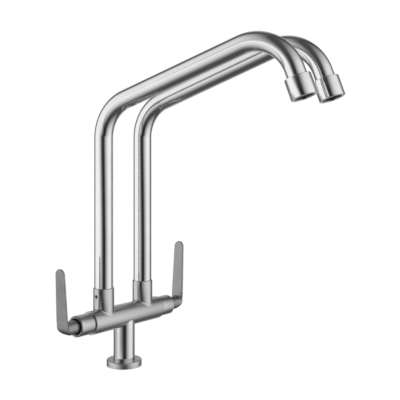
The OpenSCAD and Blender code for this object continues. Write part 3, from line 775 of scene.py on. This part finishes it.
def skin_mesh(name, form, low, high, place):
    """Wraps a form in an even net of quads: one point in each cell that its skin crosses, then drawn
    onto the skin itself."""
    step = 0.5
    probe = 1e-3
    rounds = 8
    farthest = step * 0.75
    lines = [np.arange(a, b + step, step) for a, b in zip(low, high)]
    value = form(*np.meshgrid(*lines, indexing="ij"))
    inside = value < 0
    corners = [inside[a:a - 1 or None, b:b - 1 or None, c:c - 1 or None]
               for a in (0, 1) for b in (0, 1) for c in (0, 1)]
    crossed = np.logical_or.reduce(corners) & ~np.logical_and.reduce(corners)
    number = np.full(crossed.shape, -1)
    number[crossed] = np.arange(crossed.sum())
    points = np.stack([line[0] + (index + 0.5) * step
                       for line, index in zip(lines, np.nonzero(crossed))])
    start = points.copy()
    for _ in range(rounds):
        gap = form(*points)
        slope = np.stack([form(*(points + move)) - gap for move in np.eye(3)[:, :, None] * probe]) / probe
        steepness = np.maximum((slope ** 2).sum(0), 0.2)
        points = points - slope * gap / steepness
        points = np.clip(points, start - farthest, start + farthest)
    faces = []
    for axis in range(3):
        ahead = np.moveaxis(inside, axis, 0)
        cells = np.moveaxis(number, axis, 0)
        i, j, k = np.nonzero(ahead[1:, 1:-1, 1:-1] != ahead[:-1, 1:-1, 1:-1])
        faces.append(np.stack([cells[i, j, k], cells[i, j + 1, k],
                               cells[i, j + 1, k + 1], cells[i, j, k + 1]], 1))
    mesh = bpy.data.meshes.new(name)
    verts = [place @ (Vector(p) * MM) for p in points.T]
    mesh.from_pydata(verts, [], np.concatenate(faces).tolist())
    return mesh


for side, sign in SIDES.items():
    place = Matrix.Translation((0, 0, BAR_Z * MM)) @ Matrix.Diagonal((sign, 1, 1, 1))
    tip_z = size_of("lever_" + side)[1].z - BAR_Z - BLADE_TIP_R
    net_low = (69.0, -10.3, -9.3)
    net_high = (104.5, 10.3, tip_z + BLADE_TIP_R + 1.5)
    skin = skin_mesh("handle_" + side, lambda x, y, z: lever_form(x, y, z, tip_z), net_low, net_high, place)
    handle = add_object("handle_" + side, skin, lever_steel, 50)
    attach(handle, side + "_lever")
    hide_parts("lever_" + side)


# The spouts: polished stainless tube bent twice on a mandrel, up from the socket, along a rising
# arm and down to the outlet. Each foot stands on a washer in its socket.
SWING = {"left": math.radians(10.1), "right": math.radians(7.0)}
TUBE_BORE_R = TUBE_R - 1.2
RISER_TOP = 272.6
BEND_R = 47.9
LOWER_BEND = math.radians(69.6)
OUTLET_BEND = math.radians(89.6)
ARM_LEN = 157.3
TUBE_END = 20.0
TUBE_FOOT = size_of("spout_tube_right")[0].z


def spout_path():
    """The tube's axis as (outwards, up, direction) from the foot on, and its place after the
    outlet bend."""
    heading = math.pi / 2
    out, up = 0.0, TUBE_FOOT
    path = [(out, up, heading)]

    def straight(length, count):
        nonlocal out, up
        for _ in range(count):
            out += length / count * math.cos(heading)
            up += length / count * math.sin(heading)
            path.append((out, up, heading))

    def bend(turn, count):
        nonlocal out, up, heading
        centre = (out + BEND_R * math.sin(heading), up - BEND_R * math.cos(heading))
        for _ in range(count):
            heading -= turn / count
            out = centre[0] - BEND_R * math.sin(heading)
            up = centre[1] + BEND_R * math.cos(heading)
            path.append((out, up, heading))

    straight(RISER_TOP - TUBE_FOOT, 12)
    bend(LOWER_BEND, 36)
    straight(ARM_LEN, 12)
    bend(OUTLET_BEND, 46)
    outlet = path[-1]
    straight(TUBE_END, 3)
    return path, outlet


tube_path, outlet = spout_path()


def spout_frame(side):
    """Turns the spout's side view (outwards, up) into the tap's frame, at its socket and swing."""
    place = Matrix.Translation((SIDES[side] * SWIVEL_X * MM, SOCKET_Y * MM, 0))
    return place @ Matrix.Rotation(SWING[side], 4, "Z")


def bent_tube(name, path, outer_r, inner_r, place, steps=96):
    """A hollow tube along a path in the side view: out along the outside, back along the bore."""
    points = []
    stations = [(spot, outer_r) for spot in path] + [(spot, inner_r) for spot in reversed(path)]
    for (out, up, heading), radius in stations:
        for turn in turns(steps):
            lift = radius * math.cos(turn)
            aside = radius * math.sin(turn)
            ahead = out - lift * math.sin(heading)
            height = up + lift * math.cos(heading)
            points.append(place @ (Vector((aside, -ahead, height)) * MM))
    return ringed_mesh(name, points, steps)


for side in SIDES:
    pipe_mesh = bent_tube("spout_pipe_" + side, tube_path, TUBE_R, TUBE_BORE_R, spout_frame(side))
    pipe = add_object("spout_pipe_" + side, pipe_mesh, mirror_steel)
    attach(pipe, side + "_spout")
    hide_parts("spout_tube_" + side)


# The aerator caps: polished stainless rings screwed onto the outlet collars, with a flat shoulder
# above, eased edges and an inner ledge below that holds the insert and its screen.
CAP_START = 8.5
CAP_END = 31.2
CAP_R = 14.5
CAP_NECK_R = TUBE_R + 0.25
CAP_ROOF = CAP_START + 1.2
CAP_LEDGE = CAP_END - 1.7
CAP_BORE_R = 12.25
CAP_MOUTH_R = 10.8


def outlet_frame(side):
    """Lays a turned piece on the outlet axis, from the end of the outlet bend outwards."""
    out, up, heading = outlet
    place = spout_frame(side) @ Matrix.Translation((0, -out * MM, up * MM))
    return place @ Matrix.Rotation(math.pi / 2 - heading, 4, "X")


for side in SIDES:
    cap = add_object("outlet_cap_" + side, turned_mesh("outlet_cap_" + side, soft_outline([
        (CAP_NECK_R, CAP_START + 0.5, 0),
        (CAP_NECK_R + 0.35, CAP_START, 0.15),
        (CAP_R, CAP_START, 0.6),
        (CAP_R, CAP_END, 0.8),
        (CAP_MOUTH_R, CAP_END, 0.5),
        (CAP_MOUTH_R, CAP_LEDGE, 0.2),
        (CAP_BORE_R, CAP_LEDGE, 0),
        (CAP_BORE_R, CAP_ROOF, 0),
        (CAP_NECK_R, CAP_ROOF, 0),
    ]), outlet_frame(side), 192), mirror_steel)
    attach(cap, side + "_spout")
    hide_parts("aerator_cap_" + side)


# The pieces inside, which keep their own solids: valves, seals, discs, washers, ferrules, inserts
# and screws. Each gets the finish of its metal, rubber, ceramic or plastic.
def oiled_metal(name, scale, low, dark, light, smooth, rough):
    """Machined metal that an uneven film of oil or grease darkens."""
    material, shader = surface(name, 1.0)
    oil = noise_mask(material, (scale, scale, scale), 4, low, 0.7)
    vary_colour(material, shader, oil, dark, light)
    vary_roughness(material, shader, oil, smooth, rough)
    return material


def lapped_ceramic():
    material, shader = surface("lapped_ceramic", 0.0)
    cloud = noise_mask(material, (200, 200, 200), 3, 0.3, 0.7)
    vary_colour(material, shader, cloud, (0.82, 0.81, 0.77), (0.88, 0.87, 0.84))
    vary_roughness(material, shader, cloud, 0.12, 0.25)
    return material


def moulded_plastic(name, dark, light):
    material, shader = surface(name, 0.0)
    cloud = noise_mask(material, (150, 150, 150), 4, 0.3, 0.7)
    grain = noise_mask(material, (2500, 2500, 2500), 2)
    vary_colour(material, shader, cloud, dark, light)
    vary_roughness(material, shader, cloud, 0.40, 0.55)
    add_relief(material, shader, grain, 0.00001)
    return material


# The valve bodies' tone is raised to paint light into the shaded groove between bar and sleeve: painted light,
# over random oil stains.
valve_painted_light_steel = oiled_metal("oiled_valve_painted_light", 240, 0.3,
                          (0.38, 0.38, 0.385), (0.50, 0.50, 0.505), 0.35, 0.5)
screw_steel = oiled_metal("oiled_screw_steel", 300, 0.35,
                          (0.05, 0.05, 0.052), (0.15, 0.15, 0.155), 0.30, 0.45)
INNER_FINISHES = {
    "brass": brass,
    "rubber": rubber,
    "plain_steel": plain_steel,
    "screen_steel": screw_steel,
    "screw_steel": screw_steel,
    "disc_ceramic": lapped_ceramic(),
    "washer_plastic": moulded_plastic("white_plastic", (0.78, 0.77, 0.73), (0.84, 0.83, 0.80)),
    "insert_plastic": moulded_plastic("grey_plastic", (0.10, 0.10, 0.105), (0.15, 0.15, 0.155)),
    "bar_steel": bar_steel,
    "lever_steel": lever_steel,
    "flange_steel": flange_steel,
    "polished_steel": mirror_steel,
}
for part in frame["record"]["subparts"]:
    node = part["node"]
    finish = valve_painted_light_steel if node.startswith("valve_body") else INNER_FINISHES[part["material_slot"]]
    solid = frame["nodes"][node]
    solid.data.materials.clear()
    solid.data.materials.append(finish)


# The studio: a plain pale floor, a soft light dome and the camera. The dome is white all round but
# for three tall soft flags and a dimmer band low on the left, and dark straight above and below.
CAMERA_PLACE_M = Vector((-0.7081, -0.6936, 0.2813))
CAMERA_TURN = math.radians(-50.86)
TOWARD_CAMERA = Vector((math.sin(CAMERA_TURN), -math.cos(CAMERA_TURN), 0))
CAMERA_RIGHT = Vector((math.cos(CAMERA_TURN), math.sin(CAMERA_TURN), 0))
IMAGE_PX = 400
FOCAL_LENGTH_PX = 822.2
LENS_RISE_PX = -69.53
# The flag near the camera: light by bearing from the flag's middle, in degrees to the right, and
# the middle's own bearing at two sines of height, since the flag leans.
FLAG_LIGHT = [(-68, 1.0), (-58, 0.96), (-48, 0.86), (-38, 0.64), (-30, 0.42), (-22, 0.22), (-15, 0.09),
              (-8, 0.02), (8, 0.02), (15, 0.09), (20, 0.22), (27, 0.38), (37, 0.56), (47, 0.75),
              (60, 0.9), (75, 0.98), (90, 1.0)]
FLAG_LOW = (-0.12, math.radians(10))
FLAG_HIGH = (0.12, math.radians(-20))
# The two flags behind: light by bearing from the camera, in degrees to its right.
BACK_LIGHT = [(-180, 0.6), (-168, 0.5), (-154, 0.25), (-146, 0.1), (-138, 0.08), (-130, 0.16),
              (-118, 0.5), (-107, 0.95), (-97, 1.0), (90, 1.0), (101, 0.85), (112, 0.5), (126, 0.2),
              (138, 0.1), (148, 0.15), (156, 0.3), (168, 0.5), (180, 0.6)]
# The dimmer band: the light it leaves, by bearing from the camera, and its span, by the sine of
# the height (0 is inside the band).
LOW_LIGHT = [(-180, 1.0), (-125, 0.65), (-95, 0.45), (-80, 0.6), (-71, 0.88), (-52, 0.88),
             (-42, 0.6), (-30, 0.5), (-10, 0.6), (8, 1.0), (180, 1.0)]
LOW_SPAN = [(-1.0, 1.0), (-0.34, 1.0), (-0.29, 0.0), (-0.24, 0.0), (-0.2, 1.0), (1.0, 1.0)]
# Light by the sine of the height, and what the darkest parts still give.
HEIGHT_LIGHT = [(-1.0, 0.06), (-0.93, 0.13), (-0.8, 0.36), (-0.62, 0.62), (-0.39, 0.85), (-0.14, 1.0),
                (0.2, 1.0), (0.37, 0.95), (0.6, 0.8), (0.79, 0.5), (0.92, 0.25), (1.0, 0.1)]
LEAST_LIGHT = [(-1.0, 0.075), (-0.6, 0.055), (-0.39, 0.034), (-0.2, 0.014), (0.0, 0.010),
               (0.2, 0.018), (0.37, 0.055), (0.6, 0.070), (1.0, 0.070)]


def ramp(tree, source, stops, low, high):
    """Light by a value that runs from low to high, read from stops between which it blends."""
    node = tree.nodes.new("ShaderNodeValToRGB")
    elements = node.color_ramp.elements
    elements.remove(elements[1])
    for i, (place, level) in enumerate(stops):
        spot = (place - low) / (high - low)
        element = elements[0] if i == 0 else elements.new(spot)
        element.position = spot
        element.color = (level, level, level, 1)
    tree.links.new(source, node.inputs["Fac"])
    return node.outputs["Color"]


def combined(tree, operation, first, second):
    node = tree.nodes.new("ShaderNodeMath")
    node.operation = operation
    tree.links.new(first, node.inputs[0])
    tree.links.new(second, node.inputs[1])
    return node.outputs[0]


def remapped(tree, source, from_low, from_high, to_low, to_high):
    node = tree.nodes.new("ShaderNodeMapRange")
    node.inputs["From Min"].default_value = from_low
    node.inputs["From Max"].default_value = from_high
    node.inputs["To Min"].default_value = to_low
    node.inputs["To Max"].default_value = to_high
    tree.links.new(source, node.inputs["Value"])
    return node.outputs["Result"]


def reach_along(tree, direction, axis):
    """How far a direction of sight points along an axis, from -1 to 1."""
    node = tree.nodes.new("ShaderNodeVectorMath")
    node.operation = "DOT_PRODUCT"
    node.inputs[1].default_value = axis
    tree.links.new(direction, node.inputs[0])
    return node.outputs["Value"]


def dome_level(tree):
    """The dome's light in a direction of sight, from its bearing and the sine of its height."""
    sight = tree.nodes.new("ShaderNodeTexCoord").outputs["Generated"]
    split = tree.nodes.new("ShaderNodeSeparateXYZ")
    tree.links.new(sight, split.inputs[0])
    sine = split.outputs["Z"]
    aside = reach_along(tree, sight, CAMERA_RIGHT)
    ahead = reach_along(tree, sight, TOWARD_CAMERA)
    bearing = combined(tree, "ARCTAN2", aside, ahead)
    flag_middle = remapped(tree, sine, FLAG_LOW[0], FLAG_HIGH[0], FLAG_LOW[1], FLAG_HIGH[1])
    from_flag = combined(tree, "SUBTRACT", bearing, flag_middle)
    flag_turn = remapped(tree, from_flag, -math.pi, math.pi, 0, 1)
    camera_turn = remapped(tree, bearing, -math.pi, math.pi, 0, 1)
    height = remapped(tree, sine, -1, 1, 0, 1)
    by_flag = ramp(tree, flag_turn, FLAG_LIGHT, -180, 180)
    by_back = ramp(tree, camera_turn, BACK_LIGHT, -180, 180)
    in_band = ramp(tree, camera_turn, LOW_LIGHT, -180, 180)
    off_band = ramp(tree, height, LOW_SPAN, -1, 1)
    by_height = ramp(tree, height, HEIGHT_LIGHT, -1, 1)
    least = ramp(tree, height, LEAST_LIGHT, -1, 1)
    flags = combined(tree, "MULTIPLY", by_flag, by_back)
    around = combined(tree, "MULTIPLY", flags, combined(tree, "MAXIMUM", in_band, off_band))
    open_light = combined(tree, "MULTIPLY", around, by_height)
    return combined(tree, "MAXIMUM", open_light, least)


def light_dome():
    """The world: the dome for the tap's light and mirror images, plain white for the camera."""
    world = bpy.data.worlds.new("studio")
    world.use_nodes = True
    tree = world.node_tree
    nodes, links = tree.nodes, tree.links
    nodes.clear()
    rays = nodes.new("ShaderNodeLightPath")
    dome = nodes.new("ShaderNodeBackground")
    backdrop = nodes.new("ShaderNodeBackground")
    backdrop.inputs["Color"].default_value = (1, 1, 1, 1)
    choose = nodes.new("ShaderNodeMixShader")
    out = nodes.new("ShaderNodeOutputWorld")
    links.new(dome_level(tree), dome.inputs["Color"])
    links.new(rays.outputs["Is Camera Ray"], choose.inputs["Fac"])
    links.new(dome.outputs[0], choose.inputs[1])
    links.new(backdrop.outputs[0], choose.inputs[2])
    links.new(choose.outputs[0], out.inputs["Surface"])
    bpy.context.scene.world = world


def studio_floor():
    """A pale plane, 12 m across, that keeps the tap's shadow. Mirror rays pass it to the dome."""
    reach = 6.0
    mesh = bpy.data.meshes.new("studio_floor")
    mesh.from_pydata([(-reach, -reach, 0), (reach, -reach, 0), (reach, reach, 0), (-reach, reach, 0)],
                     [], [(0, 1, 2, 3)])
    material = bpy.data.materials.new("pale_floor")
    material.use_nodes = True
    tree = material.node_tree
    nodes, links = tree.nodes, tree.links
    nodes.clear()
    cloth = nodes.new("ShaderNodeBsdfDiffuse")
    cloth.inputs["Color"].default_value = (0.5, 0.5, 0.5, 1)
    shade = nodes.new("ShaderNodeBsdfDiffuse")
    shade.inputs["Color"].default_value = (0.40, 0.40, 0.40, 1)
    glow = nodes.new("ShaderNodeEmission")
    glow.inputs["Strength"].default_value = 0.88
    pale = nodes.new("ShaderNodeAddShader")
    open_air = nodes.new("ShaderNodeBsdfTransparent")
    rays = nodes.new("ShaderNodeLightPath")
    shiny = combined(tree, "MAXIMUM", rays.outputs["Is Glossy Ray"], rays.outputs["Is Transmission Ray"])
    mirrored = nodes.new("ShaderNodeMixShader")
    choose = nodes.new("ShaderNodeMixShader")
    out = nodes.new("ShaderNodeOutputMaterial")
    links.new(shade.outputs[0], pale.inputs[0])
    links.new(glow.outputs[0], pale.inputs[1])
    links.new(shiny, mirrored.inputs["Fac"])
    links.new(cloth.outputs[0], mirrored.inputs[1])
    links.new(open_air.outputs[0], mirrored.inputs[2])
    links.new(rays.outputs["Is Camera Ray"], choose.inputs["Fac"])
    links.new(mirrored.outputs[0], choose.inputs[1])
    links.new(pale.outputs[0], choose.inputs[2])
    links.new(choose.outputs[0], out.inputs["Surface"])
    mesh.materials.append(material)
    floor = bpy.data.objects.new("studio_floor", mesh)
    bpy.context.scene.collection.objects.link(floor)


light_dome()
studio_floor()
lens = bpy.data.cameras.new("camera")
lens.sensor_width = 36.0
lens.lens = FOCAL_LENGTH_PX / IMAGE_PX * lens.sensor_width
lens.shift_y = LENS_RISE_PX / IMAGE_PX
camera = bpy.data.objects.new("camera", lens)
camera.location = CAMERA_PLACE_M
camera.rotation_euler = (math.pi / 2, 0, CAMERA_TURN)
bpy.context.scene.collection.objects.link(camera)
bpy.context.scene.camera = camera
bpy.context.scene.view_settings.view_transform = "Standard"
